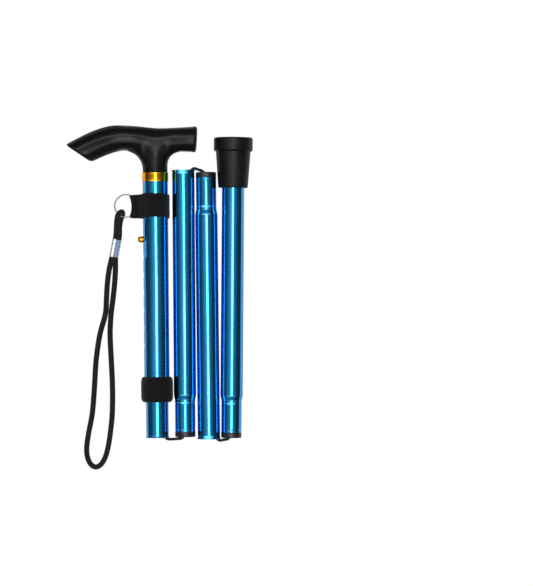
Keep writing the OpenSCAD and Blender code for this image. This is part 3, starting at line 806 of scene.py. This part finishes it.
# Rubber tip: a moulded black foot with a raised rim and ring treads, pushed over the last tube's end.
# A steel washer inside it keeps the tube from cutting through.
tip_foot = 254.2
tip_top = 211.6
tip_rim = 242.8
tip_seat = 245.2
tip_rim_r = 16.5
tip_body_r = 14.7
tip_neck_r = 12.7
tip_bore_r = section_r + 0.05
tread_radii = (5.0, 9.5)
tread_w = 1.6
tread_depth = 1.5
rubber_black = (0.0042, 0.0042, 0.0046, 1.0)
rubber_bloom = (0.0085, 0.0085, 0.009, 1.0)


def rubber_finish():
    """Dull rubber with a faint pale bloom."""
    made, shader, shade = new_finish("black_rubber", Specular_IOR_Level=0.17)
    skin = grain(shade, 1500.0)
    bloom = grain(shade, 55.0).between(0.45, 0.75)
    shade.feed(shader.inputs["Base Color"], bloom.paint(rubber_black, rubber_bloom))
    shade.feed(shader.inputs["Roughness"], 0.40 + 0.1 * bloom + 0.06 * skin)
    relief(shade, shader, skin, 0.15, 0.00008)
    return made


treads = []
for r in reversed(tread_radii):
    treads += [
        (r + tread_w, tip_foot, 0.25), (r + tread_w, tip_foot - tread_depth, 0.25),
        (r, tip_foot - tread_depth, 0.25), (r, tip_foot, 0.25),
    ]
tip = lathe("rubber_tip_black", rounded([
    (tip_bore_r, tip_top, 0.3), (tip_neck_r - 0.1, tip_top, 1.3), (tip_neck_r, tip_top + 2.6, 0.8),
    (tip_body_r, tip_rim - 0.5, 0.25), (tip_rim_r - 0.5, tip_rim, 0.3), (tip_rim_r, tip_rim + 1.0, 0.6),
    (tip_rim_r, tip_foot - 0.8, 0.7), (tip_rim_r - 1.0, tip_foot, 0.5),
] + treads + [(0.05, tip_foot, 0), (0.05, tip_seat, 0), (tip_bore_r, tip_seat, 0.2)]), section_place[2])
black_rubber = rubber_finish()
dress(tip, black_rubber, "section_4", "rubber_tip")
refinish("tip_washer", plain_steel)

# Wrist strap: a strip of black hook-and-loop webbing, wrapped round the tube and pinched into a tab.
# Its folded end goes round the split ring and draws in where the ring pulls on it.
strap_top_z = -46.9
strap_w = 20.4
strap_t = 1.3
strap_mid_r = 11.4
tab_end = -22.3
tab_mid_y = 2.05
fold_hollow_r = 23.0
fold_hollow = 1.9
strap_tilt = 0.1
strap_wave = 0.7
strap_edge = (14, 0.08)
strap_fuzz = 0.14
tab_root = 13.5
tab_narrow = 0.07
nap_scale = 0.55
nap_fine = 3.1
web_dark = (0.0020, 0.0019, 0.0021, 1.0)
web_pale = (0.0080, 0.0075, 0.0081, 1.0)


def webbing_finish(name, loops, weave):
    """Napped webbing: fine loops over a coarse weave, dull and a little dusty."""
    made, shader, shade = new_finish(name, Sheen_Weight=0.15, Sheen_Roughness=0.5, Specular_IOR_Level=0.15)
    nap = grain(shade, loops, detail=5.0)
    clump = grain(shade, weave)
    pile = 0.65 * nap + 0.35 * clump
    shade.feed(shader.inputs["Base Color"], pile.between(0.3, 0.75).paint(web_dark, web_pale))
    shade.feed(shader.inputs["Roughness"], 0.82 + 0.15 * nap)
    relief(shade, shader, pile, 0.8, 0.00035)
    return made


def selvedge(h, sharp, thinnest):
    """Share of the thickness across the strip's width, drawn in at its two edges."""
    return math.sqrt(max(1 - abs(h) ** sharp, thinnest))


def ribbon(name, middle, out, heights, thick, wrap, edge, fuzz, sink):
    """Strip of webbing along a middle line in the ground plane, with soft selvedges and a napped face.

    A turn that lies on another sinks with it at the selvedges.
    """
    rings = []
    shrink = np.array([selvedge(h, *edge) for h in np.linspace(-1, 1, len(heights))])
    for i, (spot, side) in enumerate(zip(middle, out)):
        ring = []
        for face, order in ((1, range(len(heights))), (-1, range(len(heights) - 1, -1, -1))):
            for k in order:
                level = heights[k]
                place = Vector((*spot, level)) * nap_scale
                nap = noise.noise(place) * 0.6 + noise.noise(place * nap_fine) * 0.4
                half = thick * (shrink[k] - 0.5) + fuzz * nap if face > 0 else thick / 2
                half -= face * sink[i] * thick * (1 - shrink[k])
                ragged = fuzz * 1.2 * noise.noise(Vector((i * 0.23, 7.0 + face, level * 0.1)))
                ends = ragged if k in (0, len(heights) - 1) else 0
                ring.append((*(spot + face * half * side), level + ends))
        rings.append(ring)
    return loft(name, rings, wrap=wrap)


half_turn = np.radians(np.linspace(0, 140, 48))
band = np.column_stack([strap_mid_r * np.cos(half_turn), strap_mid_r * np.sin(half_turn)])
tab = np.array([(-12.1, 4.7), (-14.0, 2.75), (-16.3, 2.1), (-19.2, tab_mid_y), (-20.7, 1.6), (-21.65, 0.0)])
one_side = np.vstack([band[:-1], smooth_route(np.vstack([band[-1:], tab]), 8)])
strap_line = np.vstack([one_side, (one_side[1:-1] * (1, -1))[::-1]])
ways = np.roll(strap_line, -1, axis=0) - np.roll(strap_line, 1, axis=0)
ways /= np.linalg.norm(ways, axis=1)[:, None]
strap_out = np.column_stack([ways[:, 1], -ways[:, 0]])
strap_heights = np.linspace(strap_top_z - strap_w, strap_top_z, 44)
strap = ribbon(
    "wrist_strap_webbing", strap_line, strap_out, strap_heights, strap_t,
    wrap=True, edge=strap_edge, fuzz=strap_fuzz, sink=np.zeros(len(strap_line)),
)
strap_mid_z = strap_top_z - strap_w / 2
for vertex in strap.data.vertices:
    x, y, z = vertex.co / MM
    pull = min(max((-x - tab_root) / (-tab_end - tab_root), 0), 1)
    rise = z - strap_mid_z
    hollow = max(fold_hollow - rise**2 / (2 * fold_hollow_r), 0)
    wave = strap_wave * noise.noise(Vector((x * 0.16, y * 0.16, rise * 0.05))) * abs(rise) / (strap_w / 2)
    sag = strap_tilt * y * (1 - pull)
    level = strap_mid_z + rise * (1 - tab_narrow * pull) - sag + wave
    vertex.co = Vector((x + pull**2 * hollow, y, level)) * MM
webbing = webbing_finish("napped_webbing", 1900.0, 420.0)
dress(strap, webbing, "handle_tube", "wrist_strap")

# Keeper strap: a second strip of the same webbing, wound twice round the outer tube's lower end.
# Unwound and closed round all four sections, it keeps the folded cane together.
keeper_low_z = -222.8
keeper_w = 21.5
keeper_t = 1.4
keeper_gap = 0.05
keeper_edge = (6, 0.05)
keeper_fuzz = 0.2
keeper_start = math.radians(-35)
lap = math.radians(28)
wind = np.linspace(0, 4 * math.pi - lap, 220)
climb = np.clip((wind - (2 * math.pi - lap)) / lap, 0, 1)
keeper_r = outer_r + keeper_gap + keeper_t / 2 + keeper_t * climb**2 * (3 - 2 * climb)
keeper_out = np.column_stack([np.cos(wind + keeper_start), np.sin(wind + keeper_start)])
keeper_line = keeper_r[:, None] * keeper_out
keeper_heights = np.linspace(keeper_low_z, keeper_low_z + keeper_w, 40)
keeper = ribbon(
    "keeper_strap_webbing", keeper_line, keeper_out, keeper_heights, keeper_t,
    wrap=False, edge=keeper_edge, fuzz=keeper_fuzz, sink=climb,
)
dress(keeper, webbing, "handle_tube", "keeper_strap")

# Split ring: two turns of bright plated spring wire, sprung apart to thread it into the strap's fold.
# The wrist cord hangs on it.
ring_mid = (-24.9, 0.0, -56.5)
ring_r = 9.6
ring_wire_d = 1.2
ring_gap = 1.0
ring_dark = (0.20, 0.195, 0.19, 1.0)
ring_pale = (0.30, 0.295, 0.29, 1.0)
coil_start = 40
coil_turned = 708
step_from = 318
step_long = 60
coil = np.radians(np.linspace(coil_start, coil_start + coil_turned, 240))
step = np.clip((np.degrees(coil) - coil_start - step_from) / step_long, 0, 1)
ring_route = np.column_stack([
    ring_mid[0] + ring_r * np.cos(coil),
    ring_mid[1] + ring_gap * (step * step * (3 - 2 * step) - 0.5),
    ring_mid[2] + ring_r * np.sin(coil),
])
bright_steel = steel_finish("bright_steel", ring_dark, ring_pale, 0.36)
split_ring = cord_tube("split_ring_wire", ring_route, ring_wire_d, sides=16)
dress(split_ring, bright_steel, "ring", "split_ring")

# Wrist cord: one length of black braided cord, doubled through the ring and closed by a pressed sleeve.
# The short bight above the sleeve holds the ring, and the long loop below it goes round the wrist.
wrist_cord_d = 0.0042
slack_swell = 0.0006
slack_reach = 0.25
cord_strands = 8
cord_pitch = 2.6
cord_ridge = 0.045
cord_step = 0.0011
cord_smoothing = 40
crimp_mid = np.array([-0.0342, 0, -0.0923])
crimp_lean = math.radians(11)
crimp_half = 0.0075
strand_shift = np.array([0.00135, 0.00165, 0])
strand_out = 0.004
strand_gap = 0.0001
bight_turn = math.radians(237)
bight_twist = math.radians(25)
bight_in = -np.array([math.cos(bight_turn), 0, math.sin(bight_turn)])
bight_hub = np.array(ring_mid) * MM - ring_r * MM * bight_in
bight_along = np.array([bight_in[2], 0, -bight_in[0]])
bight_out = np.array([0, -math.cos(bight_twist), 0]) - math.sin(bight_twist) * bight_along
bight_r = 0.0041
loop_route = [
    (-0.0396, -0.001, -0.110), (-0.0413, 0, -0.122), (-0.0423, 0.0005, -0.136), (-0.0432, 0.0005, -0.148),
    (-0.048, 0, -0.165), (-0.0514, -0.0005, -0.187), (-0.053, -0.001, -0.210), (-0.055, -0.001, -0.232),
    (-0.0584, -0.0005, -0.249), (-0.0602, 0, -0.262), (-0.0592, 0, -0.2704), (-0.0564, 0, -0.2758),
    (-0.0522, 0, -0.278), (-0.048, 0, -0.2754), (-0.0446, 0, -0.2698), (-0.042, 0, -0.261),
    (-0.040, 0.0005, -0.249), (-0.0382, 0.001, -0.232),
    (-0.0378, 0.001, -0.210), (-0.0386, 0.0005, -0.187), (-0.0394, 0, -0.165), (-0.0384, 0, -0.148),
    (-0.0368, 0.0005, -0.136), (-0.0352, 0.001, -0.122), (-0.0344, 0.0015, -0.110),
]


def strand(h, side):
    """Point on a strand in the sleeve: height along it, and side -1 in front or 1 behind."""
    tilt = np.array(Matrix.Rotation(crimp_lean, 3, "Y"))
    return crimp_mid + tilt @ (np.array([0, 0, h]) + side * strand_shift)


def bight_arc(a):
    """Point of the turn over the ring's wire, at an angle in degrees."""
    turn = math.radians(a)
    return bight_hub + bight_r * (math.sin(turn) * bight_in + math.cos(turn) * bight_out)


front_up = strand(crimp_half + strand_out, -1)
rear_up = strand(crimp_half + strand_out, 1)
bight_route = (
    [strand(strand_gap, -1), strand(crimp_half, -1), front_up, (front_up + bight_arc(-50)) / 2]
    + [bight_arc(a) for a in range(-15, 196, 35)]
    + [(rear_up + bight_arc(230)) / 2, rear_up, strand(crimp_half, 1), strand(strand_gap, 1)]
)
hand_route = (
    [strand(-strand_gap, -1), strand(-crimp_half, -1)]
    + loop_route
    + [strand(-crimp_half, 1), strand(-strand_gap, 1)]
)
cord_braid = braid_finish("cord_braid", cord_strands, cord_pitch * MM)
cords = {}
for name, points in (("wrist_cord_bight", bight_route), ("wrist_cord_loop", hand_route)):
    coarse = smooth_route(points, 12)
    passed = np.concatenate([[0], np.cumsum(np.linalg.norm(np.diff(coarse, axis=0), axis=1))])
    marks = np.linspace(0, passed[-1], 2 * int(passed[-1] / cord_step) + 1)
    path = np.column_stack([np.interp(marks, passed, coarse[:, i]) for i in range(3)])
    for _ in range(cord_smoothing):
        path[2:-2] += (path[1:-3] + path[3:-1] - 2 * path[2:-2]) / 4
    slack = np.exp(-((np.minimum(marks, marks[-1] - marks) / slack_reach) ** 4))
    piece = cord_tube(
        name + "_braid", path / MM, (wrist_cord_d + slack_swell * slack) / MM,
        sides=32, strands=cord_strands, pitch=cord_pitch, ridge=cord_ridge,
    )
    dress(piece, cord_braid, "wrist_loop", name)
    cords[name] = (piece, path, np.linalg.norm(np.diff(path, axis=0), axis=1).sum())

# Crimp sleeve: a bright aluminium sleeve with two lobes, pressed round both strands of the wrist cord.
# The press leaves a shallow waist along it and soft edges at its ends.
lobe_r = 2.65
sleeve_wall = 0.5
sleeve_waist = 0.45
sleeve_sides = 96
crimp_dark = (0.60, 0.605, 0.61, 1.0)
crimp_pale = (0.78, 0.785, 0.79, 1.0)


def sleeve_ring(h, grow):
    """Outline of the two lobes at a height along the sleeve, in its own leaning frame."""
    ring = []
    lobe = Vector(strand_shift[:2] / MM)
    for k in range(sleeve_sides):
        a = 2 * math.pi * k / sleeve_sides
        way = Vector((math.cos(a), math.sin(a)))
        lie = way @ lobe.normalized()
        r = lobe_r + grow - sleeve_waist * max(1 - 2 * abs(lie), 0) ** 2
        spot = r * way + min(max(1.6 * lie, -1), 1) * lobe
        ring.append((spot[0], spot[1], h))
    return ring


sleeve_end = [
    (6.9, -sleeve_wall - 0.1), (7.42, -sleeve_wall), (7.5, -0.2), (7.42, -0.06), (7.2, 0.0), (5.2, 0.0),
]
pressed = [(4.4, -0.08), (2.2, -0.1), (0.0, -0.04), (-2.2, -0.1), (-4.4, -0.08)]
sleeve_heights = sleeve_end + pressed + [(-h, grow) for h, grow in reversed(sleeve_end)]
crimp_place = Matrix.Translation(crimp_mid) @ Matrix.Rotation(crimp_lean, 4, "Y")
crimp = loft("crimp_sleeve_pressed", [sleeve_ring(h, grow) for h, grow in sleeve_heights], crimp_place)
crimp_metal = steel_finish("crimp_metal", crimp_dark, crimp_pale, 0.42)
dress(crimp, crimp_metal, "wrist_loop", "crimp_sleeve")
for name, (piece, path, length) in cords.items():
    [crimp] if name == "wrist_cord_loop" else []

# Studio: a white room with a pale floor and one soft box near the camera, and two curved grey walls.
# The walls show only in reflections: their strips of light and dim parts give the metal its bands.
scene = bpy.context.scene
scene.view_settings.view_transform = "Standard"
middle = Vector((0.02, 0, -0.12))
room_light = (0.97, 0.985, 1.0, 1.0)
room_light_strength = 0.40


def light_paths(shade):
    """1 for rays that show a background, straight or in a reflection, and 0 for light on surfaces."""
    kinds = ("Camera", "Glossy", "Transmission")
    seen, mirrored, through = [shade.add("LightPath", {}, {}, f"Is {kind} Ray") for kind in kinds]
    return seen.math("MAXIMUM", mirrored).math("MAXIMUM", through)


world = bpy.data.worlds.new("white_room")
scene.world = world
world.use_nodes = True
room = Value(world.node_tree)
lit = room.add("Background", {}, {"Color": room_light, "Strength": room_light_strength})
white = room.add("Background", {}, {"Color": (1.0, 1.0, 1.0, 1.0), "Strength": 1.0})
both = room.add("MixShader", {}, {0: light_paths(room), 1: lit, 2: white})
room.feed(world.node_tree.nodes["World Output"].inputs["Surface"], both)

floor_z = -1.0
floor_r = 4.0
floor_t = 0.02
floor_grey = (0.84, 0.84, 0.84, 1.0)
floor_pale = (0.88, 0.88, 0.88, 1.0)


def floor_finish():
    """Pale matt floor, lifted towards white where it shows straight on or in a reflection."""
    made, shader, shade = new_finish(
        "pale_floor", Roughness=0.9, Specular_IOR_Level=0.1, Emission_Strength=0.55
    )
    speck = grain(shade, 30.0)
    shade.feed(shader.inputs["Base Color"], speck.paint(floor_grey, floor_pale))
    shade.feed(shader.inputs["Emission Color"], light_paths(shade).paint((0, 0, 0, 1), (1, 1, 1, 1)))
    return made


floor_edge = [(floor_r * math.cos(a), floor_r * math.sin(a)) for a in np.radians(range(0, 360, 5))]
floor = loft("studio_floor", [
    [(x / MM, y / MM, (floor_z - drop) / MM) for x, y in floor_edge] for drop in (floor_t, 0)
])
floor.data.materials.append(floor_finish())

wall_r = 2.3
wall_h = 0.84
front_levels = (
    (-100, 0.16), (-78, 0.11), (-66, 0.12), (-56, 0.18), (-37, 0.40), (-28, 0.56), (-18, 0.80), (0, 0.9),
    (18, 0.60), (28, 0.33), (38, 0.28), (48, 0.17), (58, 0.09), (100, 0.06),
)
rear_levels = (
    (-42, 1.0), (-33, 0.85), (-26, 0.48), (-17, 0.25), (-11, 0.40), (-7, 0.85), (-2, 0.90), (3, 0.40),
    (9, 0.22), (19, 0.30), (29, 0.75), (42, 1.0),
)


def dim_wall(name, side, reach, levels, strips):
    """Curved grey wall that shows only in reflections, in front of the cane (side -1) or behind it (1).

    Its grey follows levels at angles from its middle, times the strips of light on it.
    """
    rows = [math.radians(e) for e in range(-88, 89, 8)]
    columns = [math.radians(a) for a in range(-reach, reach + 1, 4)]
    wide = len(columns)
    points = [
        (wall_r * math.cos(e) * math.sin(a), side * wall_r * math.cos(e) * math.cos(a), wall_h * math.sin(e))
        for e in rows for a in columns
    ]
    starts = [i * wide + k for i in range(len(rows) - 1) for k in range(wide - 1)]
    mesh = bpy.data.meshes.new(name)
    mesh.from_pydata(points, [], [(n, n + 1, n + wide + 1, n + wide) for n in starts])
    mesh.shade_smooth()
    wall = bpy.data.objects.new(name, mesh)
    scene.collection.objects.link(wall)
    wall.location = middle
    wall.visible_camera = False
    wall.visible_diffuse = False
    wall.visible_shadow = False
    wall.visible_transmission = False
    grey, shader, shade = new_finish(
        name + "_grey", Base_Color=(0, 0, 0, 1), Specular_IOR_Level=0.0, Emission_Strength=1.0
    )
    axes = shade.add("TexCoord", {}, {}, "Object")
    x, y, z = [shade.add("SeparateXYZ", {}, {"Vector": axes}, c) for c in "XYZ"]
    azimuth = x.math("ARCTAN2", side * y) * (180 / math.pi)
    away = (x * x + y * y).math("SQRT")
    span = levels[-1][0]
    stops = [((a + span) / (2 * span), (v, v, v, 1.0)) for a, v in levels]
    glow = shade.add("ValToRGB", {"stops": stops}, {"Fac": (azimuth + span) * (0.5 / span)})
    lit = shade.add(
        "Mix", {"data_type": "RGBA", "blend_type": "MULTIPLY"},
        {0: 1.0, 6: glow, 7: strips(azimuth, z.math("DIVIDE", away))}, 2,
    )
    shade.feed(shader.inputs["Emission Color"], lit)
    mesh.materials.append(grey)


def front_strips(azimuth, rise):
    """Fades upwards and downwards, with one soft level strip above the lens and one below it."""
    fade = 1 - 0.93 * rise.math("ABSOLUTE").between(0.12, 0.85)
    above = rise.between(0.20, 0.30) * (1 - rise.between(0.30, 0.46))
    below = rise.between(-0.52, -0.36) * (1 - rise.between(-0.36, -0.22))
    across = azimuth.between(-90, -30) * (1 - azimuth.between(20, 70))
    return fade + across * (14.0 * above + 9.0 * below)


def rear_strips(azimuth, rise):
    """One upright strip, so that the tubes shine from behind too."""
    return 1 + 3.0 * azimuth.between(-9, -6) * (1 - azimuth.between(-3, 0))


dim_wall("dim_front", -1, 98, front_levels, front_strips)
dim_wall("dim_rear", 1, 42, rear_levels, rear_strips)

key_away = 1.9
key_side = math.radians(3)
key_lift = math.radians(-2.7)
key_way = Vector((math.sin(key_side), -math.cos(key_side), math.tan(key_lift)))
key = bpy.data.lights.new("soft_box", "AREA")
key.shape = "RECTANGLE"
key.size = 0.50
key.size_y = 0.60
key.energy = 9.4
key_light = bpy.data.objects.new("soft_box", key)
scene.collection.objects.link(key_light)
key_light.location = middle + key_away * key_way
key_light.rotation_euler = key_way.to_track_quat("Z", "Y").to_euler()

# Camera: level with the middle of the folded cane and square to its four tubes, from about 2.5 m.
# It is aimed past the cane, which stands in the left half of the picture.
image_h = 586
metres_per_pixel = 0.000847
focal_pixels = 2977
eye_x = 0.0934
eye_z = -0.1313
eye_roll = math.radians(-0.52)
camera = bpy.data.cameras.new("camera")
camera.sensor_fit = "VERTICAL"
camera.sensor_height = 36.0
camera.lens = focal_pixels * camera.sensor_height / image_h
eye = bpy.data.objects.new("camera", camera)
scene.collection.objects.link(eye)
eye.location = (eye_x, -focal_pixels * metres_per_pixel, eye_z)
eye.rotation_euler = (Matrix.Rotation(math.pi / 2, 3, "X") @ Matrix.Rotation(eye_roll, 3, "Z")).to_euler()
scene.camera = eye
